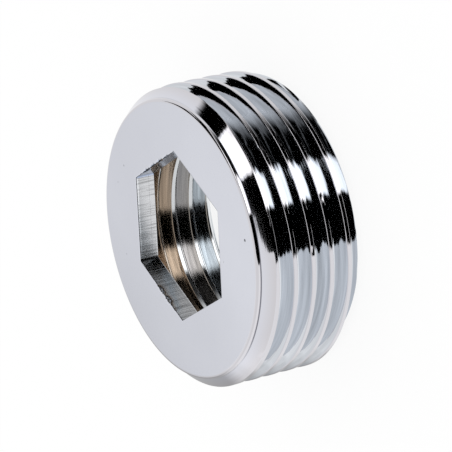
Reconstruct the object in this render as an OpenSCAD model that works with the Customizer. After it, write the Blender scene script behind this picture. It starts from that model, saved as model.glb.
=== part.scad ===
// Reducing bushing, in millimetres: a short ring that screws into a large pipe port
// and takes a smaller pipe in its open end. A thin web closes the driving end apart
// from a hexagonal socket, which is both the grip for the key and the way through.
// The ring stands on its open end, centred on Z, with socket corners on the X axis.

/* [Body] */
// Length of the ring, from its open end to its driving face
body_len = 10; // [9:0.1:16]
// Thickness of the web that holds the socket
web_t = 1.85; // [1.2:0.05:2.6]
// Distance across the flats of the hexagonal socket
hex_af = 13.2; // [9:0.1:15.5]

/* [Threads] */
// Major diameter of the outer thread
outer_d = 26.441; // [24.5:0.001:32]
// Thickness of the wall between the roots of the outer and the inner thread
root_wall = 1.581; // [1.2:0.001:2.4]
// Pitch of both threads, along the axis
pitch = 1.814; // [1.75:0.002:1.9]
// Depth of both threads, from crest to root
thread_depth = 1.162; // [1:0.002:1.26]
// Width of the flat on each crest
land_w = 0.336; // [0.24:0.004:0.4]
// Angle of each flank to the plane across the axis
flank_angle = 27.5; // [26:0.5:30]

/* [Ends of the outer thread] */
// Distance from the driving face to the middle of the first outer crest
outer_lead_in = 1.35; // [1.2:0.01:1.6]
// Size of the 45 degree chamfer between the driving face and the thread
lead_chamfer = 0.92; // [0.6:0.02:1]
// Height of the narrow upright band between that chamfer and the rounded rim
rim_step = 0.06; // [0.02:0.01:0.12]
// Radius of the rounded rim of the driving face
rim_radius = 0.3; // [0.1:0.02:0.4]
// Size of the 45 degree chamfer at the open end
end_chamfer = 0.8; // [0.5:0.02:1]

/* [Ends of the inner thread] */
// Length of the relief between the web and the first inner crest
relief_len = 1.51; // [1.35:0.01:2]
// Width that the relief leaves of the first inner crest
first_land_w = 0.124; // [0.08:0.004:0.3]
// Size of the 45 degree countersink at the mouth of the open end
mouth_chamfer = 1.585; // [1.3:0.005:1.8]

/* [Hidden] */

// Radii of the crests and roots, from the outer crests inwards
outer_r = outer_d / 2;
outer_root_r = outer_r - thread_depth;
inner_root_r = outer_root_r - root_wall;
inner_r = inner_root_r - thread_depth;

// A groove's width at the crests, and the stretch of axis that one flank takes
groove_w = pitch - land_w;
flank_run = thread_depth * tan(flank_angle);

// Heights of the web's underside and of the front edge of the first inner crest
web_z = body_len - web_t;
first_land_z = web_z - relief_len;

// Radius of the rim, and the height at which its chamfer starts
rim_r = outer_r - lead_chamfer;
chamfer_z = body_len - rim_radius - rim_step;

// Where the grooves start below the driving face, and how many fit before each end
outer_groove_top = body_len - outer_lead_in - land_w / 2;
inner_groove_top = first_land_z - first_land_w;
outer_grooves = ceil((outer_groove_top - end_chamfer) / pitch);
inner_grooves = ceil((inner_groove_top - mouth_chamfer) / pitch);

// Distance that cutting shapes run past the surface that they cut
over = 0.1;

// Facets round the axis, and round the small circle of the rim
axis_facets = 96;
rim_facets = 24;

chrome = [0.80, 0.81, 0.84];

// Section of one groove at the height z of its upper edge, open at the crests
module groove(crest_r, root_r, z) {
    open_r = crest_r + sign(crest_r - root_r) * over;
    open_run = over * tan(flank_angle);
    polygon([
        [open_r, z + open_run],
        [root_r, z - flank_run],
        [root_r, z - groove_w + flank_run],
        [open_r, z - groove_w - open_run]
    ]);
}

// Section of the blank: web, wall, relief, countersink and chamfers, before threading
module blank_section() {
    polygon([
        [0, web_z],
        [inner_root_r, web_z],
        [inner_root_r, first_land_z + flank_run],
        [inner_r, first_land_z],
        [inner_r, mouth_chamfer],
        [inner_r + mouth_chamfer, 0],
        [outer_r - end_chamfer, 0],
        [outer_r, end_chamfer],
        [outer_r, chamfer_z - lead_chamfer],
        [rim_r, chamfer_z],
        [rim_r, body_len],
        [0, body_len]
    ]);
}

// Section of what the rounded rim takes off the corner of the driving face
module rim_corner() {
    translate([rim_r - rim_radius, body_len - rim_radius])
        difference() {
            square(rim_radius + over);
            circle(r = rim_radius, $fn = rim_facets);
        }
}

// Section of the threaded ring, with the grooves of both threads
module ring_section() {
    difference() {
        blank_section();
        rim_corner();
        for (i = [0 : outer_grooves - 1])
            groove(outer_r, outer_root_r, outer_groove_top - i * pitch);
        for (i = [0 : inner_grooves - 1])
            groove(inner_r, inner_root_r, inner_groove_top - i * pitch);
    }
}

// The broached hexagonal hole through the web
module hex_socket() {
    translate([0, 0, web_z - over])
        cylinder(d = hex_af / cos(30), h = web_t + 2 * over, $fn = 6);
}

module bushing() {
    color(chrome)
        difference() {
            rotate_extrude($fn = axis_facets) ring_section();
            hex_socket();
        }
}

bushing();
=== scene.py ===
import bpy
import numpy as np
from math import radians
from mathutils import Euler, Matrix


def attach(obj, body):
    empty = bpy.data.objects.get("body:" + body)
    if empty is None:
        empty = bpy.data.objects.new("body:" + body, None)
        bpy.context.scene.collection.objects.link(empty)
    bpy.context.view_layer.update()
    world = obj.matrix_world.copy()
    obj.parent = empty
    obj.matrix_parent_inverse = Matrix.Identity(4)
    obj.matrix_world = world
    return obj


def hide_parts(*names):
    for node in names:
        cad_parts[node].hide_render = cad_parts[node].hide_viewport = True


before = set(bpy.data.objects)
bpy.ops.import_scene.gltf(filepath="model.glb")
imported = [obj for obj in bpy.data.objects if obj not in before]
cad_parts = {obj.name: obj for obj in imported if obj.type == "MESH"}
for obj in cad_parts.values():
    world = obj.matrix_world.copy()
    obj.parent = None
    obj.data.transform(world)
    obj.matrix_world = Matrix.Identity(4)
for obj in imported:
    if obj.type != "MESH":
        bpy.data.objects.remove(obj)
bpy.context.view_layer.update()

# The camera looks at the driving face from about 30 degrees above its plane, with a
# long lens close to parallel. It is rolled so that the ring's axis points to the left.
CAMERA_PLACE = (0.0793638, -0.2162477, 0.1398801)
CAMERA_TURNS = (-21.4076, 57.1527, -94.9165)
CAMERA_AZIMUTH = -69.9
LENS, SENSOR = 245.764, 36.0
NEAREST, FARTHEST = 0.01, 20.0

camera = bpy.data.objects.new("camera", bpy.data.cameras.new("camera"))
camera.location = CAMERA_PLACE
camera.rotation_euler = Euler([radians(turn) for turn in CAMERA_TURNS], "XYZ")
camera.data.lens = LENS
camera.data.sensor_width = SENSOR
camera.data.clip_start = NEAREST
camera.data.clip_end = FARTHEST
bpy.context.scene.collection.objects.link(camera)
bpy.context.scene.camera = camera
bpy.context.scene.view_settings.view_transform = "Standard"


# The ring is one turned brass piece: blank, two right-hand pipe threads, then a hexagonal
# socket broached through its web, and bright chrome plate over all of it. Nothing is
# fixed to it: it screws into its port, open end first, and takes a pipe in that end.

# Sizes are in millimetres, turns go round the axis, and heights run up from the open end
MM = 0.001
LENGTH = 10.0
WEB_UNDERSIDE = 8.15
OUTER_CREST, INNER_CREST = 13.2205, 9.3155
PITCH = 1.814
CREST_FLAT = 0.336
THREAD_DEPTH = 1.162
GROOVE = PITCH - CREST_FLAT
INNER_ROOT = INNER_CREST + THREAD_DEPTH
COLUMNS = 288

# Tangent of the flanks' angle, height of a groove's upper edge at turn 0, and the widths
# over which crests and roots are rounded. The outer cutter was drawn out over RUN_OUT.
OUTER_FLANK, INNER_FLANK = np.tan(np.radians((26.7, 29.7)))
OUTER_EDGE, INNER_EDGE = 8.867, 5.961
OUTER_ROUNDED, INNER_ROUNDED = (0.05, 0.30), (0.015, 0.06)
RUN_OUT = (-0.445, -0.139)
RUN_OUT_LIFT = 1.1

# The driving face with its rounded rim, the chamfer below it, and the open end
FACE_R, RIM_ROUND = 12.0, 0.3
CHAMFER_TOP, CHAMFER, CHAMFER_SWELL = 9.64, 0.92, 0.03
RIM_R = OUTER_CREST - CHAMFER
END_R = OUTER_CREST - 0.8
MOUTH, MOUTH_RISE = 1.585, 1.22
RELIEF_LOW = 6.36
CORNER_BLEND = 0.03

# The socket, half of 13.2 mm across its flats, stands a little off the ring's axis. Its
# front edge is torn out by up to BURR along two stretches, where the broach broke through.
SOCKET_FLAT = 6.6
SOCKET_OFFSET = (0.245, 0.09)
SOCKET_BEVEL = 0.03
BURR = 0.30
BURRED = ((0.395, 0.475), (0.02, 0.15))
BURR_WAVES = ((0.3, 907, 0), (0.3, 1613, 1), (0.2, 523, 0))

# Knocks on the crests: degrees round from the camera's side, height, and depth
NICKS = (
    (-27.5, 7.10, 0.12), (-28, 5.16, 0.14), (-30, 7.75, 0.06), (-3, 3.25, 0.12), (15, 5.02, 0.09),
    (-14, 6.85, 0.05), (4, 6.75, 0.05), (-21, 1.55, 0.08), (33, 3.15, 0.05), (57, 8.72, 0.07),
)
NICK_WIDTH, NICK_HEIGHT, NICK_SLANT = 0.20, 0.10, 0.6

# Heights of the mesh's level lines down the outer and up the inner wall
OUTER_CIRCLES = (
    CHAMFER_TOP, 9.62, 9.4, 9.2, 9.0, 8.8, 8.75, 8.73, 8.72, 8.71, 8.69, 0.13, 0.1, 0.05, 0.0,
)
INNER_CIRCLES = (
    0.0, 0.4, 0.8, 1.18, 1.2, 1.22, 1.24, 1.27, 6.32, 6.34, 6.36, 6.38, 6.42, 6.6, 6.8,
    6.9, 6.96, 7.0, 7.5, WEB_UNDERSIDE,
)


def soft_min(a, b, blend):
    """The smaller of a and b, with the corner between them rounded over the width blend:
    less a quarter of the squared nearness of the two, divided by blend."""
    near = np.maximum(blend - np.abs(a - b), 0) / blend
    return np.minimum(a, b) - near * near * blend / 4


def soft_max(a, b, blend):
    """The larger of a and b, rounded in the same way."""
    return -soft_min(-a, -b, blend)


def groove_depth(down, flank, lift, rounded):
    """Depth of a thread below its crests. down is the distance along the axis past the
    groove's upper edge, within one pitch. The depth is the lesser of the full depth and
    the distance from the nearer edge over the flank's tangent; lift raises the whole
    groove. rounded holds the widths of the rounding at the crests and at the root."""
    edge, root = rounded
    half = GROOVE / 2
    side = (half - np.abs(down - half)) / flank
    return soft_max(soft_min(THREAD_DEPTH, side, root) - lift, 0.0, edge)


def thread(height, turn, upper_edge, flank, rounded, run_out=None):
    """Depth of a helical thread at a height and a turn. The groove's upper edge rises one
    pitch a turn. run_out gives two places along the groove, in turns: the lift falls
    evenly from the first to the second, where the cutter has its full depth."""
    along = (upper_edge + PITCH * turn - height) / PITCH
    groove = np.floor(along)
    lift = 0.0
    if run_out is not None:
        place = groove - turn
        drawn = np.clip((run_out[1] - place) / (run_out[1] - run_out[0]), 0, 1)
        lift = drawn * THREAD_DEPTH * RUN_OUT_LIFT
    return groove_depth((along - groove) * PITCH, flank, lift, rounded)


def outer_radius(height, turn):
    """The least of the thread, the front chamfer and the chamfer at the open end, less
    the nicks. The front chamfer swells between its edges, as the polishing left it, by
    the product of the shares above and below; a nick falls off as a bell curve."""
    worn = OUTER_CREST - thread(height, turn, OUTER_EDGE, OUTER_FLANK, OUTER_ROUNDED, RUN_OUT)
    down = np.clip((CHAMFER_TOP - height) / CHAMFER, 0, 1)
    slope = RIM_R + CHAMFER_TOP - height + CHAMFER_SWELL * down * (1 - down)
    worn = soft_min(worn, slope, CORNER_BLEND)
    worn = soft_min(worn, END_R + height, CORNER_BLEND)
    for place, level, depth in NICKS:
        round_by = np.mod(turn - CAMERA_AZIMUTH / 360 + place / 360 + 0.5, 1) - 0.5
        across = round_by * 2 * np.pi * OUTER_CREST + NICK_SLANT * (height - level)
        near = np.exp(-(across / NICK_WIDTH) ** 2 - ((height - level) / NICK_HEIGHT) ** 2)
        worn = worn - depth * near
    return worn


def inner_radius(height, turn):
    """The greatest of the thread, the countersink at the mouth and the relief by the web."""
    cut = INNER_CREST + thread(height, turn, INNER_EDGE, INNER_FLANK, INNER_ROUNDED)
    cut = soft_max(cut, INNER_CREST + MOUTH * (1 - height / MOUTH_RISE), CORNER_BLEND)
    relief = np.clip((height - RELIEF_LOW) / INNER_FLANK, 0, THREAD_DEPTH)
    return soft_max(cut, INNER_CREST + relief, CORNER_BLEND)


def thread_lines(upper_edge, turns, low, high, circles):
    """Heights of the mesh's lines down a threaded wall, one row of heights a column.
    Most lines follow the helix, so that each crest edge and root has its own; circles
    stay level. All are clipped to the wall and sorted from the top down."""
    edge = np.array([-0.045, -0.022, 0.0, 0.022, 0.05, 0.09])
    flank = np.array([0.20, 0.32])
    half_root = np.array([0.065, 0.09, 0.15, 0.22, 0.30])
    root = GROOVE / 2 + np.concatenate([-half_root, [0.0], half_root])
    down = np.sort(np.concatenate([edge, flank, root, GROOVE - flank, GROOVE - edge]))
    starts = upper_edge - PITCH * np.arange(*turns)
    helix = (starts[:, None] - down[None, :]).ravel()
    turn = np.arange(COLUMNS + 1) / COLUMNS
    lines = helix[None, :] + PITCH * turn[:, None]
    level = np.repeat(np.array(circles)[None, :], COLUMNS + 1, 0)
    rows = np.clip(np.concatenate([lines, level], 1), low, high)
    return -np.sort(-rows, axis=1), len(down)


def socket_loop(grow=0.0):
    """Corner to corner round the hexagonal socket, as x and y for each column: the flat's
    distance over the cosine of the angle from the flat's middle."""
    angle = 2 * np.pi * np.arange(COLUMNS) / COLUMNS
    from_middle = np.mod(angle, np.pi / 3) - np.pi / 6
    to_wall = (SOCKET_FLAT + grow) / np.cos(from_middle)
    return (
        SOCKET_OFFSET[0] + to_wall * np.cos(angle),
        SOCKET_OFFSET[1] + to_wall * np.sin(angle),
    )


def burrs():
    """How far the socket's front edge is torn outwards at each column: a swell along each
    burred stretch, times short ragged teeth that are a sum of sines."""
    turn = np.arange(COLUMNS) / COLUMNS
    torn = np.zeros(COLUMNS)
    for start, end in BURRED:
        along = np.mod(turn - start, 1) / (end - start)
        torn += np.where(along < 1, np.sin(np.pi * np.clip(along, 0, 1)) ** 0.5, 0)
    teeth = 0.5
    for size, pace, start in BURR_WAVES:
        teeth = teeth + size * np.sin(turn * pace + start)
    return BURR * torn * np.clip(teeth, 0, 1)


def ring_mesh():
    """The ring's closed section, carried round the axis in columns. Level rows of
    points close on themselves; the threads' rows join one pitch further down after
    each turn. Points that fall together at the ends of the helix are merged later."""
    angle = 2 * np.pi * np.arange(COLUMNS) / COLUMNS
    turn = np.arange(COLUMNS) / COLUMNS
    whole = np.ones((COLUMNS, 1))
    points, quads = [], []
    count = 0

    def wall(x, y, z, shift=0):
        """A wall from one row of points a column. After a whole turn its rows join those
        that lie shift places before them."""
        nonlocal count
        rows = z.shape[1]
        index = count + np.arange(COLUMNS * rows).reshape(COLUMNS, rows)
        count += COLUMNS * rows
        points.append(np.stack([x, y, z], -1).reshape(-1, 3))
        after = np.roll(index, -1, axis=0)
        after[-1] = index[0][np.clip(np.arange(rows) - shift, 0, rows - 1)]
        sides = np.stack([index[:, :-1], index[:, 1:], after[:, 1:], after[:, :-1]], -1)
        quads.append(sides.reshape(-1, 4))

    def turned_wall(radius, height, shift=0):
        """A wall at a radius and a height for each point: x and y are the radius times
        the column's cosine and sine."""
        wall(radius * np.cos(angle)[:, None], radius * np.sin(angle)[:, None], height, shift)

    def level_face(loop, radius, height, parts, inward):
        """A level face between the socket's loop and a circle, with a row at each of the
        parts of the way. Its rows run from the circle where inward is set."""
        part = np.array(parts)[None, :]
        if inward:
            part = 1 - part
        x = loop[0][:, None] * (1 - part) + radius * np.cos(angle)[:, None] * part
        y = loop[1][:, None] * (1 - part) + radius * np.sin(angle)[:, None] * part
        wall(x, y, np.full_like(x, height))

    # The driving face, from the socket's edge outwards, and its rounded rim
    front_loop = socket_loop(SOCKET_BEVEL + burrs())
    face_parts = [0, 0.02, 0.2, 0.4, 0.6, 0.8, 0.985, 1]
    level_face(front_loop, FACE_R, LENGTH, face_parts, False)
    arc = np.linspace(0, np.pi / 2, 9)[None, :]
    rim = np.concatenate([FACE_R + RIM_ROUND * np.sin(arc), [[RIM_R]]], 1)
    rim_z = np.concatenate([LENGTH - RIM_ROUND + RIM_ROUND * np.cos(arc), [[CHAMFER_TOP]]], 1)
    turned_wall(rim * whole, rim_z * whole)

    # The chamfer, the outer thread and the chamfer at the open end, in one wall. The end
    # rows of a threaded wall are set to the radius of the walls that they meet.
    height, shift = thread_lines(OUTER_EDGE, (-3, 8), 0.0, CHAMFER_TOP, OUTER_CIRCLES)
    height = height[:-1]
    radius = outer_radius(height, turn[:, None])
    radius[:, 0] = RIM_R
    turned_wall(radius, height, shift)

    # The face of the open end, then the countersink, the inner thread and the relief
    outer_end = radius[:, -1:]
    mouth = INNER_CREST + MOUTH
    part = np.array([0, 0.03, 0.97, 1])[None, :]
    turned_wall(outer_end * (1 - part) + mouth * part, np.zeros((COLUMNS, 4)))
    height, shift = thread_lines(INNER_EDGE, (-3, 7), 0.0, WEB_UNDERSIDE, INNER_CIRCLES)
    height = height[:-1]
    radius = inner_radius(height, turn[:, None])
    radius[:, -1] = mouth
    radius[:, 0] = INNER_ROOT
    turned_wall(radius[:, ::-1], height[:, ::-1], -shift)

    # The web's underside, and the socket's wall up to its torn front edge
    back_loop = socket_loop(SOCKET_BEVEL)
    web_parts = [0, 0.03, 0.5, 0.97, 1]
    level_face(back_loop, INNER_ROOT, WEB_UNDERSIDE, web_parts, True)
    up = [0, 0.01, SOCKET_BEVEL, 0.09, 0.5, 0.95, 1.4, 1.76, 1.82, 1.84, LENGTH - WEB_UNDERSIDE]
    bevelled = np.array([1, 0.3, 0, 0, 0, 0, 0, 0, 0, 0.3, 1])[None, :] * SOCKET_BEVEL
    torn = np.array([0, 0, 0, 0, 0, 0, 0, 0.25, 0.5, 0.75, 1])[None, :] * burrs()[:, None]
    flat, grown = socket_loop(), socket_loop(1.0)
    x = flat[0][:, None] + (grown[0] - flat[0])[:, None] * (bevelled + torn)
    y = flat[1][:, None] + (grown[1] - flat[1])[:, None] * (bevelled + torn)
    wall(x, y, WEB_UNDERSIDE + np.array(up)[None, :] * whole)
    return np.concatenate(points), np.concatenate(quads)


# Points nearer than MERGE millimetres become one; an edge is sharp from SHARP_EDGE on
MERGE = 2e-5
SHARP_EDGE = radians(38)


def closed_mesh(name, points, quads):
    """A mesh from points in millimetres. Points that fall together become one, and a
    quad that loses a side by it becomes a triangle, or goes if nothing is left."""
    grid = np.round(points / MERGE).astype(np.int64)
    kept, index = np.unique(grid, axis=0, return_index=True, return_inverse=True)[1:]
    a, b, c, d = index.reshape(-1)[quads].T
    whole = (a != c) & (b != d)
    sides = [whole & (a == b), whole & (b == c), whole & ((c == d) | (d == a))]
    four = whole & (a != b) & (b != c) & (c != d) & (d != a)
    threes = [(a, c, d), (a, b, d), (a, b, c)]
    faces = np.stack([a, b, c, d], -1)[four].tolist()
    for side, three in zip(sides, threes):
        corners = np.stack(three, -1)[side]
        distinct = (corners[:, 0] != corners[:, 1]) & (corners[:, 1] != corners[:, 2])
        distinct &= corners[:, 0] != corners[:, 2]
        faces += corners[distinct].tolist()
    mesh = bpy.data.meshes.new(name)
    mesh.from_pydata((points[kept] * MM).tolist(), [], faces)
    mesh.shade_smooth()
    mesh.set_sharp_from_angle(angle=SHARP_EDGE)
    return mesh


class Value:
    """A number or a vector that varies over the surface: sums of it are Math nodes."""

    def __init__(self, finish, socket):
        self.finish, self.socket = finish, socket

    def sum(self, kind, *others):
        return self.finish.node("ShaderNodeMath", {"operation": kind}, dict(enumerate(others)))

    def __add__(self, other):
        return self.sum("ADD", self, other)

    def __sub__(self, other):
        return self.sum("SUBTRACT", self, other)

    def __rsub__(self, other):
        return self.sum("SUBTRACT", other, self)

    def __mul__(self, other):
        return self.sum("MULTIPLY", self, other)

    def __gt__(self, other):
        return self.sum("GREATER_THAN", self, other)

    def __lt__(self, other):
        return self.sum("LESS_THAN", self, other)

    __radd__, __rmul__ = __add__, __mul__


class Finish:
    """A material's node tree. node() makes one node: its type, its settings, which are
    set first, then the values or links of its inputs; it gives back the output."""

    def __init__(self, tree):
        self.tree = tree
        tree.nodes.clear()

    def node(self, kind, settings=None, inputs=None, output=0):
        made = self.tree.nodes.new(kind)
        for key, value in (settings or {}).items():
            if key == "stops":
                ramp = made.color_ramp.elements
                while len(ramp) < len(value):
                    ramp.new(0.5)
                for stop, (place, colour) in zip(ramp, value):
                    stop.position, stop.color = place, colour
            else:
                setattr(made, key, value)
        for key, value in (inputs or {}).items():
            if isinstance(value, Value):
                self.tree.links.new(value.socket, made.inputs[key])
            else:
                made.inputs[key].default_value = value
        return Value(self, made.outputs[output])

    def vector(self, kind, inputs, output="Vector"):
        """One Vector Math node."""
        return self.node("ShaderNodeVectorMath", {"operation": kind}, inputs, output)

    def end(self, kind, shader):
        """The output node, fed with the shader."""
        made = self.tree.nodes.new(kind)
        self.tree.links.new(shader.socket, made.inputs[0])


chrome = bpy.data.materials.new("chrome")
chrome.use_nodes = True
plating = Finish(chrome.node_tree)
place = plating.node("ShaderNodeTexCoord", None, None, "Object")
flattened = plating.vector("MULTIPLY", {0: place, 1: (1 / MM, 1 / MM, 0)})
radius = plating.vector("LENGTH", {0: flattened}, "Value")
height = plating.node("ShaderNodeSeparateXYZ", None, {0: place}, "Z") * (1 / MM)


def streaks(stretch, detail=3.0):
    """Noise drawn out along the directions in which stretch, in cells a metre, is small."""
    drawn = plating.vector("MULTIPLY", {0: place, 1: stretch})
    return plating.node("ShaderNodeTexNoise", None, {"Vector": drawn, "Scale": 1.0, "Detail": detail})


def reach(direction):
    """Distance from the axis along a level direction."""
    return plating.vector("DOT_PRODUCT", {0: flattened, 1: direction}, "Value")


def distance(x, y):
    """Distance from a line that runs parallel to the axis through x and y."""
    return plating.vector("DISTANCE", {0: flattened, 1: (x, y, 0)}, "Value")


def rise(value, low, high, start=0.0, end=1.0):
    """start up to the value low, end from the value high, and evenly between them."""
    return plating.node("ShaderNodeMapRange", None, {
        "Value": value, "From Min": low, "From Max": high, "To Min": start, "To Max": end,
    })


def between(value, low, high):
    """1 where the value lies between low and high, and 0 elsewhere."""
    return (value > low) * (value < high)


def mixed_colour(share, first, second):
    """The first colour, or the second as far as share says."""
    return plating.node("ShaderNodeMix", {"data_type": "RGBA"}, {0: share, 6: first, 7: second}, 2)


# Marks of the making, from fine to coarse: turning lines, broach lines, and the lines that
# the cutter and the polishing drew round the threads
turning_lines = streaks((110, 110, 9000))
broach_lines = streaks((7000, 7000, 260))
drawn_lines = streaks((70, 70, 7000), 4.0)
clouds = streaks((260, 260, 260))

# Where the ring's surfaces lie, by their distance from the axis and their height
THREAD_TOP, CHAMFER_FOOT, RIM_FOOT = 8.7, 8.72, 9.71
BORE_REACH, BORE_TOP = 10.85, WEB_UNDERSIDE + 0.01
SOCKET_REACH, SOCKET_HEIGHTS = 8.7, (WEB_UNDERSIDE + 0.015, LENGTH - 0.025)
GROOVE_REACH, CREST_FROM = (11.9, 13.12), 13.16
INNER_CREST_REACH, INNER_CREST_TOP = 9.33, 6.5
CHAMFER_FROM = 12.32
CREASE_REACH, CREASE_FOOT = (12.27, 12.35), 9.6
threaded = height < THREAD_TOP
in_bore = (radius < BORE_REACH) * (height < BORE_TOP)
in_socket = (radius < SOCKET_REACH) * between(height, *SOCKET_HEIGHTS)
in_groove = between(radius, *GROOVE_REACH) * threaded
on_crest = (radius > CREST_FROM) * threaded
on_inner_crest = (radius < INNER_CREST_REACH) * (height < INNER_CREST_TOP)
on_chamfer = (radius > CHAMFER_FROM) * (height > CHAMFER_FOOT)
on_rim = (radius > FACE_R) * (height > RIM_FOOT)
in_shaded_crease = between(radius, *CREASE_REACH) * between(height, CREASE_FOOT, RIM_FOOT)

# Outside, the plate is a cool white metal that is greyer in the grooves and warmer on
# crests and rim. Colours are linear red, green, blue and alpha. Values whose names end
# in LINES are for rise: the noise from one value to another, and the shares it gives.
PLATE_TONES = ((0.605, 0.617, 0.672, 1), (0.575, 0.587, 0.642, 1))
GROOVE_TONES = ((0.535, 0.558, 0.592, 1), (0.668, 0.695, 0.738, 1))
GROOVE_LINES = (0.36, 0.64)
CREST_TONE = (0.58, 0.572, 0.602, 1)
CHAMFER_REFLECTION_TONES = ((0.60, 0.585, 0.61, 1), (0.655, 0.66, 0.715, 1))
RIM_TONE = (0.61, 0.6, 0.632, 1)
colour = mixed_colour(clouds, *PLATE_TONES)
groove_tone = mixed_colour(rise(drawn_lines, *GROOVE_LINES), *GROOVE_TONES)
colour = mixed_colour(in_groove, colour, groove_tone)
colour = mixed_colour(on_crest, colour, CREST_TONE)

# In the bore the colour is painted shade and a painted warm reflection: pale blue at the open
# end through grey to brown by the web, darker deeper in. It is lined by the cutter, and its
# crests are painted a darker grey as shade
BORE_SHADE_TONES = (
    (2.3, (0.57, 0.607, 0.637, 1)), (3.9, (0.502, 0.498, 0.504, 1)), (5.2, (0.515, 0.453, 0.392, 1)),
)
BORE_LINES = (0.35, 0.65, 0.80, 1.12)
INNER_CREST_SHADE = (0.52, 0.535, 0.55, 1)
bore_shade_stops = [(level / LENGTH, tone) for level, tone in BORE_SHADE_TONES]
# Painted shade and warm reflection: darker and browner from the open end towards the web
bore_shade_and_lines = plating.node("ShaderNodeValToRGB", {"stops": bore_shade_stops}, {0: height * (1 / LENGTH)})
bore_shade_and_lines = plating.vector("SCALE", {0: bore_shade_and_lines, "Scale": rise(drawn_lines, *BORE_LINES)})
colour = mixed_colour(in_bore, colour, bore_shade_and_lines)
# Painted shade: the inner crests are a darker grey
colour = mixed_colour(on_inner_crest, colour, INNER_CREST_SHADE)

# The chamfer and the rim, with painted shade in the crease between them on one side,
# fully from the second distance of CREASE_SIDE on
CHAMFER_BRIGHTENS = (CHAMFER_FOOT, 9.5)
CREASE_SHADE = (0.2, 0.2, 0.23, 1)
CREASE_TOWARD, CREASE_SIDE = (0.002, -1, 0), (8.4, 10.8)
# Painted reflection: the chamfer is darker and warmer at its foot and lighter and bluer towards the rim
chamfer_reflection = mixed_colour(rise(height, *CHAMFER_BRIGHTENS), *CHAMFER_REFLECTION_TONES)
colour = mixed_colour(on_chamfer, colour, chamfer_reflection)
colour = mixed_colour(on_rim, colour, RIM_TONE)
# Painted shade in the crease between chamfer and rim, on one side only
colour = mixed_colour(in_shaded_crease * rise(reach(CREASE_TOWARD), *CREASE_SIDE), colour, CREASE_SHADE)

# The socket's walls are dull and lined by the broach, with painted light and shade: a painted
# dark front edge with a painted highlight line under it. The lower wall is painted darker as shade,
# most at its corner, with a painted dark line down that corner, and has no highlight line; the upper
# wall is smooth and painted a flat bluish tone that stands for a reflection.
SOCKET_GREY = (0.60, 0.605, 0.62)
BROACH_LINES = (0.34, 0.52, 0.6, 1.0)
UPPER_WALL_REFLECTION = (0.44, 0.49, 0.60, 1)
FRONT_EDGE, HIGHLIGHT_LINE = 9.91, 9.77
EDGE_SHADE_LOSS, HIGHLIGHT_GAIN = 0.65, 0.6
LOWER_WALL_FROM, UPPER_WALL_FROM = 6.35, 6.77
WALL_SHADE, WALL_SHADE_SLOPE, WALL_SHADE_AT = 0.46, 0.075, 6.7
CORNER, CORNER_REACH, CORNER_SHADE = (-3.565, 6.69), 0.16, 0.8
to_lower_wall, to_upper_wall = reach((-0.866, 0.5, 0)), reach((0.866, 0.5, 0))
on_upper_wall = to_upper_wall > UPPER_WALL_FROM
# Painted shade: the lower wall darkens towards its corner
wall_shade = WALL_SHADE - (WALL_SHADE_AT - reach((0, 1, 0))) * WALL_SHADE_SLOPE
in_highlight = between(height, HIGHLIGHT_LINE, FRONT_EDGE) * (to_lower_wall < LOWER_WALL_FROM)
broach_marks_and_shade = rise(broach_lines, *BROACH_LINES)
# Painted shade on the front edge and the lower wall, and a painted highlight line under the front edge
broach_marks_and_shade = broach_marks_and_shade * (1 - (height > FRONT_EDGE) * EDGE_SHADE_LOSS) * (1 + in_highlight * HIGHLIGHT_GAIN)
broach_marks_and_shade = broach_marks_and_shade * (1 - (to_lower_wall > LOWER_WALL_FROM) * wall_shade)
# Painted shade: a dark line down the lower wall's corner
broach_marks_and_shade = broach_marks_and_shade * (1 - (distance(*CORNER) < CORNER_REACH) * CORNER_SHADE)
greys = {channel: broach_marks_and_shade * share for channel, share in enumerate(SOCKET_GREY)}
colour = mixed_colour(in_socket, colour, plating.node("ShaderNodeCombineColor", None, greys))
# Painted reflection: the upper wall's flat bluish tone
colour = mixed_colour(in_socket * on_upper_wall, colour, UPPER_WALL_REFLECTION)

# Pits in the driving face: x, y, radius, and how dark
PITS = (
    (2.49, -10.60, 0.13, 0.8), (4.74, 8.63, 0.10, 0.3), (-3.50, 9.05, 0.07, 0.3),
    (-0.25, -7.11, 0.06, 0.3), (2.97, 9.82, 0.07, 0.3), (-11.37, 4.20, 0.06, 0.3),
)
PIT_TONE = (0.05, 0.05, 0.06, 1)
FACE_FROM = 9.9
pitted = 0.0
for x, y, size, strength in PITS:
    pitted = (distance(x, y) < size) * strength + pitted
colour = mixed_colour(pitted * (height > FACE_FROM), colour, PIT_TONE)

# The lines are felt as well as seen: they ripple the surface by up to BUMP_DEPTH metres,
# and swing it round the axis a little, which makes the edges of what it mirrors ragged.
BUMP_DEPTH = 0.00001
PLAIN_RIPPLE, THREAD_RIPPLE, BORE_RIPPLE, BROACH_RIPPLE = 0.10, 0.25, 0.3, 0.8
BODY_SWING, THREAD_SWING, BORE_STEADIED = 0.003, 0.006, 0.3
BORE_THREAD_TOP, BODY_TOP = 6.4, 9.7
turning_depth = (1 - in_socket) * PLAIN_RIPPLE + threaded * THREAD_RIPPLE
turning_depth = turning_depth + in_bore * (height < BORE_THREAD_TOP) * BORE_RIPPLE
broach_depth = in_socket * (1 - on_upper_wall) * BROACH_RIPPLE
ripple = turning_lines * turning_depth + broach_lines * broach_depth
rippled = plating.node("ShaderNodeBump", None, {"Height": ripple, "Strength": 1.0, "Distance": BUMP_DEPTH})
around = plating.vector("CROSS_PRODUCT", {0: flattened, 1: (0, 0, 1)})
swing = (drawn_lines - 0.5) * (threaded * THREAD_SWING + (height < BODY_TOP) * BODY_SWING)
swing = swing * (1 - in_socket) * (1 - in_bore * BORE_STEADIED)
swung = plating.vector("ADD", {0: rippled, 1: plating.vector("SCALE", {0: around, "Scale": swing})})
PLATE_DULL, BORE_DULL, SOCKET_DULL = 0.05, 0.07, 0.09
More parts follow.
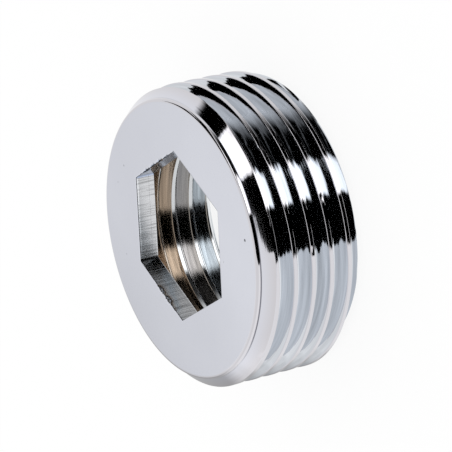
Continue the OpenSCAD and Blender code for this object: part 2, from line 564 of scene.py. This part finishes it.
plate = plating.node("ShaderNodeBsdfPrincipled", None, {
    "Base Color": colour, "Metallic": 1.0, "Normal": plating.vector("NORMALIZE", {0: swung}),
    "Roughness": in_bore * BORE_DULL + in_socket * SOCKET_DULL + PLATE_DULL,
})
plating.end("ShaderNodeOutputMaterial", plate)

ring = bpy.data.objects.new("threaded_ring", closed_mesh("threaded_ring", *ring_mesh()))
bpy.context.scene.collection.objects.link(ring)
ring.data.materials.append(chrome)
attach(ring, "root")
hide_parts("bushing")


# The ring stands on a white table in white surroundings. The table shows pure white
# apart from a trace of the ring's shadow, and the metal sees past it.
TABLE_HALF, TABLE_DROP = 0.6, 0.00002
TABLE_GLOW = 0.88
WHITE = (1, 1, 1, 1)
floor_mesh = bpy.data.meshes.new("floor")
table_corners = ((-1, -1), (1, -1), (1, 1), (-1, 1))
floor_mesh.from_pydata(
    [(x * TABLE_HALF, y * TABLE_HALF, -TABLE_DROP) for x, y in table_corners], [], [(0, 1, 2, 3)],
)
floor = bpy.data.objects.new("floor", floor_mesh)
bpy.context.scene.collection.objects.link(floor)
table = bpy.data.materials.new("table")
table.use_nodes = True
lacquer = Finish(table.node_tree)
glow = lacquer.node("ShaderNodeEmission", None, {"Color": WHITE, "Strength": 1.0})
matt = lacquer.node("ShaderNodeBsdfDiffuse", None, {"Color": WHITE})
path = lacquer.tree.nodes.new("ShaderNodeLightPath").outputs
seen = Value(lacquer, path["Is Camera Ray"]) + Value(lacquer, path["Is Glossy Ray"])
seen = seen + Value(lacquer, path["Is Transmission Ray"])
mixed = lacquer.node("ShaderNodeMixShader", None, {0: seen * TABLE_GLOW, 1: matt, 2: glow})
lacquer.end("ShaderNodeOutputMaterial", mixed)
floor.data.materials.append(table)
floor.visible_glossy = False

world = bpy.data.worlds.new("surroundings")
bpy.context.scene.world = world
world.use_nodes = True
air = Finish(world.node_tree)
air.end("ShaderNodeOutputWorld", air.node("ShaderNodeBackground", None, {"Color": WHITE, "Strength": 1.0}))


# Black, grey and bright cards stand round the table, as round any mirror-bright object
# that is photographed: without them polished chrome would show nothing but even white.
# They are plain sheets with soft edges, hung at one distance from the ring.
CARD_DISTANCE = 0.5
TOWARD_CAMERA = radians(CAMERA_AZIMUTH)


def card(name, corners, strength, soft=(0, 0, 0, 0)):
    """A card that only the metal sees. Each corner is an azimuth and an elevation in
    degrees, from the left bottom one anticlockwise; azimuth 0 is the camera's side and
    grows to the right hand of the camera. soft gives the share of the card's
    width or height over which its left, right, lower and upper edge fade out."""
    places = []
    for azimuth, elevation in np.radians(corners):
        level = np.cos(elevation) * CARD_DISTANCE
        places.append((
            level * np.cos(TOWARD_CAMERA - azimuth),
            level * np.sin(TOWARD_CAMERA - azimuth),
            np.sin(elevation) * CARD_DISTANCE,
        ))
    mesh = bpy.data.meshes.new(name)
    mesh.from_pydata(places, [], [(0, 1, 2, 3)])
    own = mesh.uv_layers.new(name="own")
    for loop, corner in zip(own.data, ((0, 0), (1, 0), (1, 1), (0, 1))):
        loop.uv = corner
    made = bpy.data.objects.new(name, mesh)
    bpy.context.scene.collection.objects.link(made)

    board = bpy.data.materials.new(name)
    board.use_nodes = True
    paint = Finish(board.node_tree)
    uv = paint.node("ShaderNodeUVMap", {"uv_map": "own"})
    across = paint.node("ShaderNodeSeparateXYZ", None, {0: uv}, "X")
    up = paint.node("ShaderNodeSeparateXYZ", None, {0: uv}, "Y")
    shown = 1.0
    for inwards, width in zip((across, 1 - across, up, 1 - up), soft):
        if width:
            edge = paint.node("ShaderNodeMapRange", {"interpolation_type": "SMOOTHSTEP"}, {
                "Value": inwards, "From Min": 0.0, "From Max": width,
            })
            shown = edge * shown
    glow = paint.node("ShaderNodeEmission", None, {"Color": WHITE, "Strength": strength})
    clear = paint.node("ShaderNodeBsdfTransparent", None, {"Color": WHITE})
    mixed = paint.node("ShaderNodeMixShader", None, {0: shown, 1: clear, 2: glow})
    paint.end("ShaderNodeOutputMaterial", mixed)
    made.data.materials.append(board)
    made.visible_camera = made.visible_diffuse = made.visible_shadow = False


def upright(left, right, low, high):
    """The corners of a card between two azimuths and two elevations."""
    return [(left, low), (right, low), (right, high), (left, high)]


# Black cards by the camera, which make the black band down the thread and the chamfer
card("card_dark_front", [(-7, -50), (32, -50), (32, 55.5), (-7, 59.7)], 0.0, (0.05, 0.03, 0, 0))
card("card_dark_over", [(-44, 49), (0, 49), (0, 59.4), (-44, 56.6)], 0.0, (0.04, 0, 0, 0))

# Black cards to the left, most with a long fade at their far edge, and one under the strip
card("card_dark_low", upright(-88, -36, -27, 2), 0.0, (0.34, 0.06, 0.15, 0.2))
card("card_dark_deep", upright(-90, -36, -52, -23), 0.0, (0.45, 0.06, 0, 0.1))
card("card_dark_side", upright(-86, -36, -4, 42), 0.0, (0.5, 0.06, 0.1, 0.05))
card("card_dark_under", upright(-38, -5, -56, -35.1), 0.0)

# Black cards far to the left and behind, seen in the grooves' flanks and the chamfer
card("card_dark_turn", upright(-112, -84, 14, 44), 0.0, (0.3, 0.02, 0.1, 0.05))
card("card_dark_high", [(-130, 33), (-84, 41), (-78, 80), (-126, 66)], 0.0, (0, 0.02, 0, 0.1))
card("card_dark_back", upright(-152, -118, 28.9, 64), 0.0)

# The upright strip lamp, the high lamp to its left and the wide soft lamp on the right
card("lamp_strip", upright(-37, -6, -35.1, 40), 2.6, (0.2, 0.12, 0.06, 0.05))
card("lamp_high", [(-84, 39), (-45, 49), (-45, 58), (-78, 56)], 1.8, (0.03, 0.03, 0.05, 0.05))
card("lamp_right", upright(32, 130, -46, 26), 1.17, (0.02, 0.2, 0.1, 0.2))

# Grey cards behind, with a lamp over them, for the soft greys on the thread's right side
card("card_grey_far", upright(140, 182, 0, 29.5), 0.87, (0.1, 0.1, 0.1, 0.08))
card("card_grey_side", upright(130, 178, -46, 23), 0.50, (0.3, 0.15, 0.35, 0.18))
card("lamp_far", upright(140, 188, 29, 60), 1.10, (0.1, 0.2, 0.05, 0.2))
